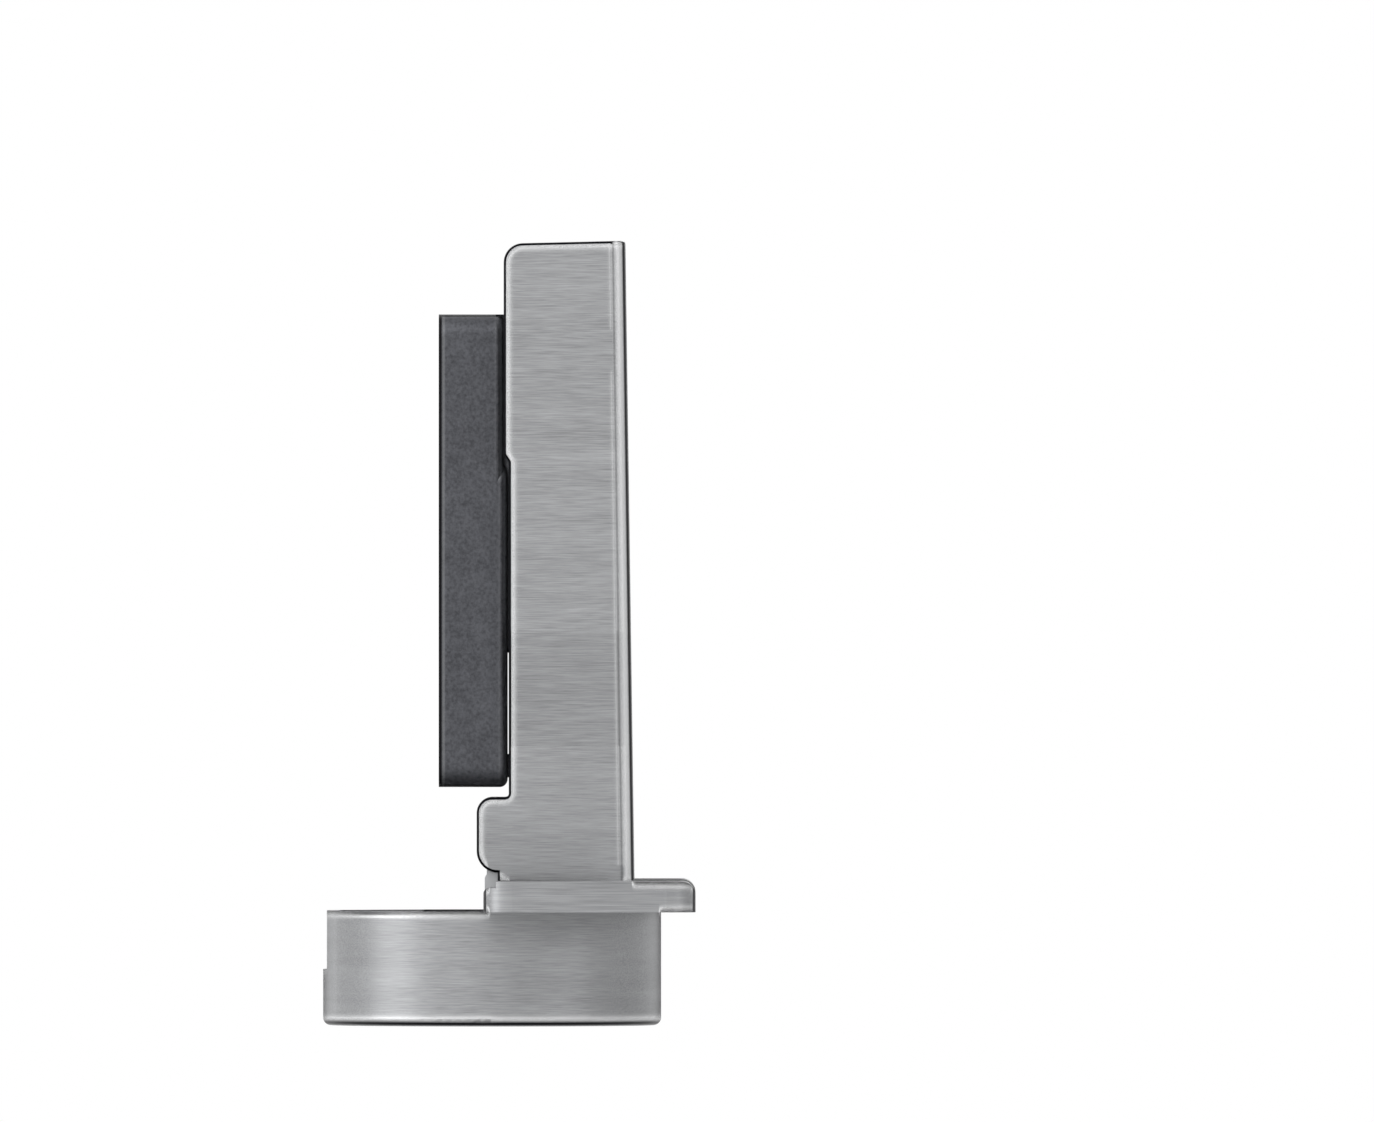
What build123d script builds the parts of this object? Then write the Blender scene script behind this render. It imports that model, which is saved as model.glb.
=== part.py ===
from build123d import *
from math import cos, radians
import os

# Concealed cup hinge that clips on a plate, for an overlay door with soft closing.
# Sizes are in millimetres. X points away from the cabinet side, Z up along the arm,
# Y across the hinge. The origin is the middle of the plate's two screw holes, on the
# face that lies on the cabinet side. The hinge is drawn closed.

# What the hinge is made to fit
screw_pitch = 32.0
front_screw_setback = 20.0
door_reveal = 2.2
door_overlay = 18.0
cup_edge_distance = 6.0

# Heights are measured from the door's inner face, which lies this far along Z
door_z = -(front_screw_setback + screw_pitch / 2 + door_reveal)

# Running room
gap = 0.3
pin_fit = 0.05
coil_play = 0.12
coil_pitch = 1.12

# How far a cutting shape reaches past what it cuts, and how near a looked-up edge lies
past = 1.0
near = 0.1

# Driver recesses of the screws, as shares of the head and of the recess
recess_share = 0.7
recess_arm_share = 0.3
recess_depth = 1.6

# Mounting plate
plate_width = 12.0
plate_height = 6.7
plate_front_margin = 9.4
plate_rear_margin = 7.5
plate_corner = 2.2
plate_edge = 0.8
plate_wall = 1.6
plate_core_depth = 4.6
plate_rib = 1.4
plate_screw_hole = 4.6
plate_screw_head = 9.0
plate_screw_seat = 3.2
plate_front_rise = 0.4
rail_width = 9.2
rail_height = 2.4
hook_bar_diameter = 2.4
hook_bar_lift = 2.7
hook_bar_setback = 2.2
nose_length = 3.0
nose_lip = 0.9
nose_undercut = 1.3

# Clip carrier, a folded steel channel that hooks on the plate
carrier_width = 11.8
carrier_wall = 1.1
carrier_foot = 7.3
carrier_top = 13.3
carrier_bend = 1.0
carrier_front_margin = 1.6
carrier_web_setback = 3.4
carrier_rear_margin = 2.2
carrier_web_rear = 18.6

# Release lever
lever_pivot_x = 11.5
lever_pin_diameter = 2.0
lever_wall = 0.7
lever_catch = 0.15
lever_tab_root = 0.4
lever_tab_lean = 1.0
lever_tab_length = 4.9
lever_tab_thickness = 1.2
lever_hook_round = 0.45
lever_heel_round = 0.7
lever_spring_room = 2.8

# Depth slider and its cam
slider_wall = 1.0
slider_foot = 8.4
slider_bend = 0.9
slider_front_margin = 2.6
slider_rear_margin = 2.6
slider_ear_round = 1.85
slider_ear_root = 3.0
slider_ear_lift = 0.5
slider_ear_spread = 0.6
cam_z = 8.0
cam_offset = 1.95
cam_disc_radius = 2.9
cam_shank_radius = 2.3
cam_head_radius = 2.4
cam_head_lift = 1.1
cam_collar_radius = 3.3
cam_collar_thickness = 1.0
cam_swing = 72.0
cam_travel = 2.0
cam_play = 0.2

# Side screw
side_screw_z = -6.0
side_screw_diameter = 5.4
side_screw_neck = 3.6
side_screw_collar = 6.4
side_screw_collar_thickness = 1.0
side_screw_top = 19.4
side_screw_room = 0.3
thread_boss_wall = 1.3
thread_boss_depth = 1.5

# Hinge arm, a pressed steel channel
arm_wall = 1.4
arm_width_rear = 18.0
arm_width_front = 15.4
arm_taper_top = 29.0
arm_taper_bottom = 17.0
arm_height = 69.3
arm_back_rear = 19.3
arm_back_front = 20.24
arm_edge_rear = 6.73
arm_edge_middle = 7.25
arm_rear_drop = 0.3
arm_step_height = 46.8
arm_step_slope = 0.4
arm_bulge_x = 3.93
arm_bulge_top = 11.75
arm_bulge_low = 3.95
arm_bulge_foot_round = 2.25
arm_neck_x = 6.1
arm_foot = 2.85
arm_rear_round = 2.0
arm_bulge_round = 1.6
arm_corner = 0.4
arm_edge_round = 0.3
arm_bend = 1.6
arm_window_height = 13.0
tilt_pin_x = 15.9
tilt_pin_height = 58.0
tilt_pin_diameter = 2.2
driver_hole = 6.4

# Linkage pivots, as distance from the cup's centre line and height above the door
arm_front_offset = 1.9
arm_front_height = 6.3
arm_rear_offset = 9.7
arm_rear_height = 7.1
cup_outer_offset = -12.5
cup_outer_height = -5.0
cup_inner_offset = -10.3
cup_inner_height = -7.9
slot_run = 0.85
slot_rise = 1.95
slot_play = 0.25
arm_pin_diameter = 3.0
cup_pin_diameter = 2.0
cup_pin_length = 16.0

# Links, folded from steel sheet. Runs and drops are measured from a link's cup pin
link_sheet = 1.2
link_neck_round = 0.95
cup_eye_round = 2.0
outer_link_width = 11.8
outer_eye_round = 2.4
outer_neck_run = 1.8
outer_neck_drop = -0.8
outer_heel_run = 5.5
outer_heel_drop = 2.75
outer_floor_run = 7.8
outer_floor_drop = 3.2
outer_floor_round = 1.2
outer_rise_run = 11.6
outer_rise_drop = 1.0
outer_rise_round = 1.9
outer_shoulder_run = 14.0
outer_shoulder_drop = -4.0
outer_shoulder_round = 2.1
outer_web_setback = 2.64
outer_web_top = 3.0
outer_web_length = 2.8
outer_web_root = 1.5
inner_link_width = 8.8
inner_eye_wall = 1.35
inner_neck_run = 1.4
inner_neck_drop = 1.3
inner_heel_run = 3.6
inner_heel_drop = 1.45
inner_floor_run = 7.3
inner_floor_drop = 1.2
inner_floor_round = 1.1
inner_rise_run = 10.5
inner_rise_round = 1.5
inner_knee_run = 12.5
inner_knee_drop = -3.3
inner_knee_round = 1.9
inner_shoulder_run = 15.2
inner_shoulder_drop = -8.4
inner_shoulder_round = 2.2
inner_web_top_run = 20.2
inner_web_top_rise = 11.8
inner_web_high_run = 16.45
inner_web_high_rise = 7.4
inner_web_low_run = 13.6
inner_web_low_rise = 2.7
inner_web_end_run = 11.1
inner_web_end_drop = 0.6

# Cup
cup_diameter = 35.0
cup_depth = 11.86
cup_floor = 1.16
cup_wall = 1.6
cup_edge = 0.8
cup_pocket_width = 12.4
cup_pocket_end = 15.6
cup_cheek_offset = -7.1
cup_relief_depth = 0.41
cup_relief_height = 6.06
wing_span = 58.0
wing_thickness = 3.16
wing_front_offset = -0.8
wing_rear_offset = 21.06
wing_corner = 3.0
wing_rear_round = 1.4
wing_front_round = 0.6
wing_step_length = 1.3
wing_step_height = 2.5
wing_channel_height = 2.3
wing_channel_width = 17.0
door_screw_pitch = 45.0
door_screw_offset = 9.5
door_screw_hole = 4.2
door_screw_head = 8.2

# Soft-close damper in the cup
damper_front_offset = 7.0
damper_top = -1.3
damper_width = 19.0
damper_corner = 0.4
plunger_height = -8.3
plunger_diameter = 3.2
plunger_front_offset = 3.5
plunger_length = 6.4
plunger_rear_wall = 0.9
plunger_tip_flat = 0.4
switch_setback = 2.0
switch_depth = 1.2
switch_length = 3.2
switch_width = 3.4
switch_travel = 1.0
switch_rise = 0.7
switch_round = 0.3

# Springs
closing_wire = 0.9
closing_turns = 5
closing_leg = 9.6
closing_leg_rise = 0.04
lever_wire = 0.5
lever_turns = 3
plunger_wire = 0.4
plunger_turns = 6

cup_x = -door_overlay + cup_edge_distance + cup_diameter / 2
arm_pivot_front = (cup_x + arm_front_offset, arm_front_height)
arm_pivot_rear = (cup_x + arm_rear_offset, arm_rear_height)
cup_pivot_outer = (cup_x + cup_outer_offset, cup_outer_height)
cup_pivot_inner = (cup_x + cup_inner_offset, cup_inner_height)
slot_end = (arm_pivot_rear[0] + slot_run, arm_rear_height + slot_rise)
cup_cheek_end = cup_x + cup_cheek_offset
wing_front_x = cup_x + wing_front_offset
wing_rear_x = cup_x + wing_rear_offset
damper_front_x = cup_x + damper_front_offset
plunger_front_x = cup_x + plunger_front_offset
plunger_rear_x = plunger_front_x + plunger_length
plate_front_z = -screw_pitch / 2 - plate_front_margin
plate_rear_z = screw_pitch / 2 + plate_rear_margin
nose_front_z = screw_pitch / 2 + plate_screw_head / 2
nose_rear_z = nose_front_z + nose_length
lever_hub = lever_pin_diameter / 2 + lever_wall
lever_pivot_z = nose_rear_z + lever_hub
hook_bar_x = plate_height + hook_bar_lift
hook_bar_z = plate_front_z + hook_bar_setback
carrier_front_z = hook_bar_z - carrier_front_margin
carrier_rear_z = lever_pivot_z + carrier_rear_margin
carrier_inner = carrier_width / 2 - carrier_wall
slider_inner = carrier_width / 2 + gap
slider_outer = slider_inner + slider_wall
slider_web_x = carrier_top + gap
slider_top = slider_web_x + slider_wall
switch_x = damper_front_x + switch_setback
pocket_floor = door_z - cup_depth + cup_floor
damper_reach = cup_diameter / 2 - cup_wall - gap / 2

SIDE = Plane(origin=(0, 0, door_z), x_dir=(1, 0, 0), z_dir=(0, -1, 0))


def across(sketch, outer, inner=0.0):
    """Side-view sketch carried across the hinge, from one half width to another."""
    solid = extrude(SIDE * sketch, outer, both=True)
    if inner > 0:
        solid -= extrude(SIDE * sketch, inner, both=True)
    return solid


def cross_pin(place, diameter, length):
    """Pin or hole along Y through a side-view place."""
    return across(Pos(*place) * Circle(diameter / 2), length / 2)


def limb(*rounds):
    """Outline that runs smoothly over rounds given as (x, height, radius)."""
    outline = Sketch()
    for near, far in zip(rounds, rounds[1:]):
        ends = [Pos(x, height) * Circle(radius) for x, height, radius in (near, far)]
        outline += make_hull([end.edge() for end in ends])
    return outline


def block(low, high):
    """Box between two corners."""
    size = [b - a for a, b in zip(low, high)]
    return Pos(*low) * Box(*size, align=(Align.MIN, Align.MIN, Align.MIN))


def post(x_low, x_high, radius, y=0.0, z=0.0):
    """Round post along X between two distances from the cabinet side."""
    place = Plane(origin=(x_low, y, z), z_dir=(1, 0, 0))
    return extrude(place * Circle(radius), x_high - x_low)


def edges_along_z(solid, x_min, y_min):
    """Long bends of a channel, found beyond given distances from its middle."""
    found = []
    for edge in solid.edges():
        middle = edge.center()
        run = edge.tangent_at(0.5)
        if abs(run.Z) > 0.9 and middle.X > x_min and abs(middle.Y) > y_min:
            found.append(edge)
    return found


def channel(x_foot, x_top, half_width, wall, z_low, z_high, bend):
    """Folded channel along Z, open towards the cabinet side."""
    body = block((x_foot, -half_width, z_low), (x_top, half_width, z_high))
    inner = half_width - wall
    body -= block((x_foot - past, -inner, z_low - past), (x_top - wall, inner, z_high + past))
    body = fillet(edges_along_z(body, x_top - near, half_width - near), bend)
    return body


def cross_recess(x_face, z, head_radius):
    """Driver recess of a screw head, open towards +X."""
    half = head_radius * recess_share
    arm = half * recess_arm_share
    low = x_face - recess_depth
    high = x_face + past
    upright = block((low, -half, z - arm), (high, half, z + arm))
    level = block((low, -arm, z - half), (high, arm, z + half))
    return upright + level


def plate_slab(z_low, z_high, height):
    """Slab of the plate with round corners and a soft upper edge."""
    foot = Plane(origin=(0, 0, (z_low + z_high) / 2), x_dir=(0, 1, 0), z_dir=(1, 0, 0))
    outline = foot * RectangleRounded(plate_width, z_high - z_low, plate_corner)
    slab = extrude(outline, height)
    return fillet(slab.faces().sort_by(Axis.X)[-1].edges(), plate_edge)


def mounting_plate():
    """Die-cast plate with its hook bar at the front and its catch nose at the rear."""
    plate = plate_slab(plate_front_z, plate_rear_z, plate_height)
    step_z = door_z + arm_step_height - arm_step_slope
    plate += plate_slab(plate_front_z, step_z, plate_height + plate_front_rise)

    reach = screw_pitch / 2 - plate_screw_head / 2
    rail_top = plate_height + rail_height
    plate += block((0, -rail_width / 2, -reach), (rail_top, rail_width / 2, reach))
    nose = block(
        (plate_height - plate_edge, -rail_width / 2, nose_front_z),
        (rail_top, rail_width / 2, nose_rear_z),
    )
    undercut = block(
        (plate_height, -plate_width, nose_rear_z - nose_lip),
        (plate_height + nose_undercut, plate_width, nose_rear_z + past),
    )
    plate += nose - undercut

    hook_x = hook_bar_x
    stem = block(
        (plate_height - plate_edge, -rail_width / 2, hook_bar_z - hook_bar_diameter / 2),
        (hook_x, rail_width / 2, hook_bar_z + hook_bar_diameter / 2),
    )
    bar = cross_pin((hook_x, hook_bar_z - door_z), hook_bar_diameter, carrier_width)
    plate += stem + bar

    core_half = reach - plate_wall
    core_width = plate_width / 2 - plate_wall
    core = block((-past, -core_width, -core_half), (plate_core_depth, core_width, core_half))
    for place in (-core_half / 3, core_half / 3):
        low = (-past, -plate_width, place - plate_rib / 2)
        high = (plate_core_depth, plate_width, place + plate_rib / 2)
        core -= block(low, high)
    plate -= core

    for z in (-screw_pitch / 2, screw_pitch / 2):
        plate -= post(-past, rail_top + past, plate_screw_hole / 2, z=z)
        plate -= post(plate_screw_seat, rail_top + past, plate_screw_head / 2, z=z)
        cone = Cone(
            plate_screw_hole / 2,
            plate_screw_head / 2,
            (plate_screw_head - plate_screw_hole) / 2,
            align=(Align.CENTER, Align.CENTER, Align.MAX),
        )
        plate -= Plane(origin=(plate_screw_seat, 0, z), z_dir=(1, 0, 0)) * cone
    return plate


def clip_carrier():
    """Folded channel that hooks on the plate and carries slider, cam and lever."""
    half = carrier_width / 2
    body = channel(
        carrier_foot, carrier_top, half, carrier_wall, carrier_front_z, carrier_rear_z, carrier_bend
    )
    front_cut = carrier_front_z + carrier_web_setback
    web_low = carrier_top - carrier_wall - carrier_bend
    for low, high in ((carrier_front_z - past, front_cut), (carrier_web_rear, carrier_rear_z + past)):
        body -= block((web_low, -carrier_inner, low), (carrier_top + past, carrier_inner, high))

    slot_width = hook_bar_diameter + 2 * pin_fit
    slot = limb(
        (hook_bar_x, hook_bar_z - door_z, slot_width / 2),
        (hook_bar_x, carrier_front_z - door_z - slot_width, slot_width / 2),
    )
    body -= across(slot, half + past)
    body -= cross_pin((lever_pivot_x, lever_pivot_z - door_z), lever_pin_diameter, 2 * (half + past))

    body -= post(web_low, carrier_top + past, cam_shank_radius + pin_fit, z=cam_z)
    collar_room = side_screw_collar / 2 + cam_travel + gap
    window_low = (web_low, -side_screw_collar / 2 - gap, side_screw_z - collar_room)
    window_high = (carrier_top + past, side_screw_collar / 2 + gap, side_screw_z + collar_room)
    body -= block(window_low, window_high)
    return body


def lever_pin():
    """Pin on which the release lever turns, riveted in the carrier."""
    return cross_pin((lever_pivot_x, lever_pivot_z - door_z), lever_pin_diameter, carrier_width)


def release_lever():
    """Lever whose hook holds the carrier down on the plate's nose."""
    pivot_x = lever_pivot_x
    pivot_height = lever_pivot_z - door_z
    nose_rear = nose_rear_z - door_z
    tip_x = plate_height + nose_undercut / 2
    tip = (tip_x, nose_rear - nose_lip + lever_catch + lever_hook_round, lever_hook_round)
    heel = (tip_x + gap, nose_rear + gap + lever_heel_round, lever_heel_round)
    tab_round = lever_tab_thickness / 2
    tab_root = (pivot_x - lever_tab_root, pivot_height + lever_hub + tab_round, tab_round)
    tab_end = (pivot_x - lever_tab_lean, pivot_height + lever_tab_length, tab_round)

    half = carrier_inner - gap
    hub_side = limb(heel, (pivot_x, pivot_height, lever_hub), tab_root)
    lever = across(hub_side, half, lever_spring_room / 2)
    lever += across(limb(tip, heel), half)
    lever += across(limb(tab_root, tab_end), half)
    lever -= cross_pin((pivot_x, pivot_height), lever_pin_diameter + 2 * pin_fit, 2 * carrier_width)
    return lever


def coil(radius, wire, turns, length):
    """Helical coil about +Z, starting at z = 0 on its +X side."""
    path = Helix(length / turns, length, radius)
    profile = Plane(origin=path @ 0, z_dir=path % 0) * Circle(wire / 2)
    return sweep(profile, path, is_frenet=True)


def lever_spring():
    """Torsion spring that turns the release lever back."""
    length = lever_turns * lever_wire * coil_pitch
    radius = lever_pin_diameter / 2 + lever_wire / 2 + coil_play
    place = Plane(
        origin=(lever_pivot_x, length / 2, lever_pivot_z), x_dir=(1, 0, 0), z_dir=(0, -1, 0)
    )
    return place * coil(radius, lever_wire, lever_turns, length)


def depth_slider():
    """Channel that slides on the carrier and holds arm and side screw."""
    low = side_screw_z - slider_front_margin
    high = door_z + tilt_pin_height + slider_rear_margin
    body = channel(slider_foot, slider_top, slider_outer, slider_wall, low, high, slider_bend)
    ear = Pos(tilt_pin_x, tilt_pin_height) * Circle(slider_ear_round)
    ear_root_x = slider_top + slider_ear_lift - slider_ear_root / 2
    ear_root_width = 2 * (slider_ear_round + slider_ear_spread)
    ear += Pos(ear_root_x, tilt_pin_height) * Rectangle(slider_ear_root, ear_root_width)
    ear_plates = across(ear, slider_outer, slider_inner)
    body += ear_plates
    pin_hole = tilt_pin_diameter + 2 * pin_fit
    body -= cross_pin((tilt_pin_x, tilt_pin_height), pin_hole, 2 * (slider_outer + past))

    window_half = cam_disc_radius + cam_play
    y_low = cam_offset * cos(radians(cam_swing)) - window_half
    y_high = cam_offset + window_half
    body -= block(
        (slider_web_x - past, y_low, cam_z - window_half),
        (slider_top + past, y_high, cam_z + window_half),
    )
    neck = side_screw_neck / 2 + 2 * pin_fit
    body -= post(slider_web_x - past, slider_top + past, neck, z=side_screw_z)
    body -= block((slider_web_x - past, -neck, low - past), (slider_top + past, neck, side_screw_z))
    return body


def depth_cam():
    """Eccentric screw, turned in the carrier, that moves the slider."""
    web_low = carrier_top - carrier_wall
    collar_top = web_low - pin_fit * 2
    cam = post(collar_top - cam_collar_thickness, collar_top, cam_collar_radius, z=cam_z)
    cam += post(collar_top, carrier_top + gap / 2, cam_shank_radius, z=cam_z)
    disc_low = carrier_top + gap / 2
    disc_top = slider_top + gap
    cam += post(disc_low, disc_top, cam_disc_radius, y=cam_offset, z=cam_z)
    head_top = disc_top + cam_head_lift
    cam += post(disc_top, head_top, cam_head_radius, z=cam_z)
    cam -= cross_recess(head_top, cam_z, cam_head_radius)
    return cam


def side_screw():
    """Screw that tilts the arm for the sideways setting."""
    collar_top = slider_web_x - pin_fit * 2
    radius = side_screw_diameter / 2
    screw = post(
        collar_top - side_screw_collar_thickness, collar_top, side_screw_collar / 2, z=side_screw_z
    )
    screw += post(collar_top, slider_top + pin_fit * 2, side_screw_neck / 2, z=side_screw_z)
    screw += post(slider_top + pin_fit * 2, side_screw_top, radius, z=side_screw_z)
    screw -= cross_recess(side_screw_top, side_screw_z, radius)
    return screw


def tilt_pin():
    """Pin at the arm's rear, on which the arm tilts on the slider."""
    return cross_pin((tilt_pin_x, tilt_pin_height), tilt_pin_diameter, arm_width_rear)


def arm_side():
    """Arm's outline from the side."""
    foot_height = arm_bulge_low + arm_bulge_foot_round
    outline = Polyline(
        (arm_neck_x, arm_foot),
        (arm_back_front, arm_foot),
        (arm_back_rear, arm_height),
        (arm_edge_rear, arm_height - arm_rear_drop),
        (arm_edge_rear, arm_step_height + arm_step_slope),
        (arm_edge_middle, arm_step_height - arm_step_slope),
        (arm_edge_middle, arm_bulge_top),
        (arm_bulge_x, arm_bulge_top),
        (arm_bulge_x, foot_height),
        (arm_neck_x, foot_height),
        close=True,
    )
    foot = Pos(arm_bulge_x + arm_bulge_foot_round, foot_height) * Circle(arm_bulge_foot_round)
    return make_face(outline) + foot


def arm_plan(half_rear, half_front):
    """Arm's outline from the door side, across Y and along Z."""
    top = arm_height + past
    points = [
        (half_front, -past),
        (half_front, arm_taper_bottom),
        (half_rear, arm_taper_top),
        (half_rear, top),
        (-half_rear, top),
        (-half_rear, arm_taper_top),
        (-half_front, arm_taper_bottom),
        (-half_front, -past),
    ]
    face = make_face(Polyline(*points, close=True))
    place = Plane(origin=(0, 0, door_z), x_dir=(0, 1, 0), z_dir=(1, 0, 0))
    return extrude(place * face, arm_back_front + past)


def hinge_arm():
    """Pressed channel that reaches from the plate to the links."""
    half_rear = arm_width_rear / 2
    half_front = arm_width_front / 2
    shell = across(arm_side(), half_rear + past) & arm_plan(half_rear, half_front)

    bends = edges_along_z(shell, arm_back_rear - near, half_front - near)
    shell = fillet(bends, arm_bend)
    rounds = {
        (arm_edge_rear, arm_height - arm_rear_drop): arm_rear_round,
        (arm_bulge_x, arm_bulge_top): arm_bulge_round,
        (arm_edge_middle, arm_bulge_top): arm_corner,
    }
    for (x, height), radius in rounds.items():
        shell = fillet(cross_edges(shell, x, height), radius)
    shell = fillet(cut_edges(shell), arm_edge_round)

    top = arm_height + past
    back = make_face(Polyline((0, 0), (back_at(0), 0), (back_at(top), top), (0, top), close=True))
    shell -= across(back, half_rear + past) & arm_plan(half_rear - arm_wall, half_front - arm_wall)

    boss_low = back_at(side_screw_z - door_z) - thread_boss_depth
    boss_high = back_at(side_screw_z - door_z) + arm_wall / 2
    screw_room = side_screw_diameter / 2 + side_screw_room
    shell += post(boss_low, boss_high, screw_room + thread_boss_wall, z=side_screw_z)
    shell -= post(boss_low - past, arm_back_front + past, screw_room, z=side_screw_z)
    shell -= post(slider_top, arm_back_front + past, driver_hole / 2, z=cam_z)

    window_half = half_front - arm_bend
    shell -= block(
        (slider_top, -window_half, door_z - past),
        (arm_back_front + past, window_half, door_z + arm_window_height),
    )
    for place in (arm_pivot_front, arm_pivot_rear):
        shell -= cross_pin(place, arm_pin_diameter, arm_width_rear + past)
    shell -= cross_pin((tilt_pin_x, tilt_pin_height), tilt_pin_diameter, arm_width_rear + past)
    return shell


def back_at(height):
    """Inner face of the arm's web at a height above the door."""
    share = (height - arm_foot) / (arm_height - arm_foot)
    return arm_back_front + share * (arm_back_rear - arm_back_front) - arm_wall


def cut_edges(solid):
    """Edges at which the arm's flat sides end in its cut outline."""
    sides = [face for face in solid.faces() if abs(face.normal_at().Y) > 0.9]
    found = []
    for face in sides:
        others = [edge for other in sides if other is not face for edge in other.edges()]
        for edge in face.edges():
            bend = edge.center().X > arm_back_rear - arm_bend and abs(edge.tangent_at(0.5).Z) > 0.9
            folded = any(edge.is_same(other) for other in others)
            if not bend and not folded:
                found.append(edge)
    return found


def cross_edges(solid, x, height):
    """Edges along Y that pass a side-view place."""
    found = []
    for edge in solid.edges():
        middle = edge.center()
        run = edge.tangent_at(0.5)
        close = abs(middle.X - x) < near and abs(middle.Z - door_z - height) < near
        if close and abs(run.Y) > 0.9:
            found.append(edge)
    return found


def arm_pin(place):
    """Pin riveted flush in the arm's two side walls."""
    return cross_pin(place, arm_pin_diameter, arm_width_front)


def outer_link():
    """Folded link from the arm's front pin to the cup pin near the rim."""
    pin_x, pin_height = cup_pivot_outer
    side = limb(
        (pin_x, pin_height, cup_eye_round),
        (pin_x + outer_neck_run, pin_height - outer_neck_drop, link_neck_round),
        (pin_x + outer_heel_run, pin_height - outer_heel_drop, link_neck_round),
        (pin_x + outer_floor_run, pin_height - outer_floor_drop, outer_floor_round),
        (pin_x + outer_rise_run, pin_height - outer_rise_drop, outer_rise_round),
        (pin_x + outer_shoulder_run, pin_height - outer_shoulder_drop, outer_shoulder_round),
        (*arm_pivot_front, outer_eye_round),
    )
    web_x = arm_pivot_front[0] - outer_web_setback + link_sheet / 2
    web_high = arm_front_height - outer_web_top
    web_low = web_high - outer_web_length
    web = web_run((web_x, web_high), (web_x, web_low))
    root = (web_x + link_sheet / 2, web_low - outer_web_root, link_sheet)
    side += limb((web_x, web_high, link_sheet / 2), root)
    half = outer_link_width / 2
    link = across(side, half, half - link_sheet) + across(web, half - link_sheet)
    link -= cross_pin(arm_pivot_front, arm_pin_diameter + 2 * pin_fit, arm_width_rear)
    link -= cross_pin(cup_pivot_outer, cup_pin_diameter + 2 * pin_fit, arm_width_rear)
    return link


def web_run(*places):
    """Rounds of a web that follows places given as (x, height)."""
    return limb(*[(x, height, link_sheet / 2) for x, height in places])


def inner_link():
    """Folded link from the arm's rear pin to the deeper cup pin."""
    pin_x, pin_height = cup_pivot_inner
    eye_round = arm_pin_diameter / 2 + inner_eye_wall
    rise = (pin_x + inner_rise_run, pin_height, inner_rise_round)
    knee = (pin_x + inner_knee_run, pin_height - inner_knee_drop, inner_knee_round)
    shoulder = (pin_x + inner_shoulder_run, pin_height - inner_shoulder_drop, inner_shoulder_round)
    side = limb(
        (pin_x, pin_height, cup_eye_round),
        (pin_x + inner_neck_run, pin_height - inner_neck_drop, link_neck_round),
        (pin_x + inner_heel_run, pin_height - inner_heel_drop, link_neck_round),
        (pin_x + inner_floor_run, pin_height - inner_floor_drop, inner_floor_round),
        rise,
        knee,
        shoulder,
        (*arm_pivot_rear, eye_round),
        (*slot_end, eye_round),
    )
    web = web_run(
        (pin_x + inner_web_top_run, pin_height + inner_web_top_rise),
        (pin_x + inner_web_high_run, pin_height + inner_web_high_rise),
        (pin_x + inner_web_low_run, pin_height + inner_web_low_rise),
        (pin_x + inner_web_end_run, pin_height - inner_web_end_drop),
    )
    half = inner_link_width / 2
    link = across(side, half, half - link_sheet) + across(web, half - link_sheet)
    slot_round = arm_pin_diameter / 2 + slot_play
    slot = limb((*arm_pivot_rear, slot_round), (*slot_end, slot_round))
    link -= across(slot, half + past)
    link -= cross_pin(cup_pivot_inner, cup_pin_diameter + 2 * pin_fit, arm_width_rear)
    return link


def cup_pin(place):
    """Pin across the cup's pocket, held in both cheeks."""
    return cross_pin(place, cup_pin_diameter, cup_pin_length)


def wing_side():
    """Outline of the wings from the side, low in front and round at the rear."""
    step_x = wing_front_x + wing_step_length
    body = make_face(
        Polyline(
            (step_x, 0),
            (wing_rear_x, 0),
            (wing_rear_x, wing_thickness),
            (step_x, wing_thickness),
            close=True,
        )
    )
    rear_corner = body.vertices().sort_by(Axis.X)[-2:].sort_by(Axis.Y)[-1]
    lip_middle = Pos((wing_front_x + step_x) / 2, wing_step_height / 2)
    lip = lip_middle * Rectangle(wing_step_length, wing_step_height)
    front_corner = lip.vertices().sort_by(Axis.X)[:2].sort_by(Axis.Y)[-1]
    return fillet(rear_corner, wing_rear_round) + fillet(front_corner, wing_front_round)


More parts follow.
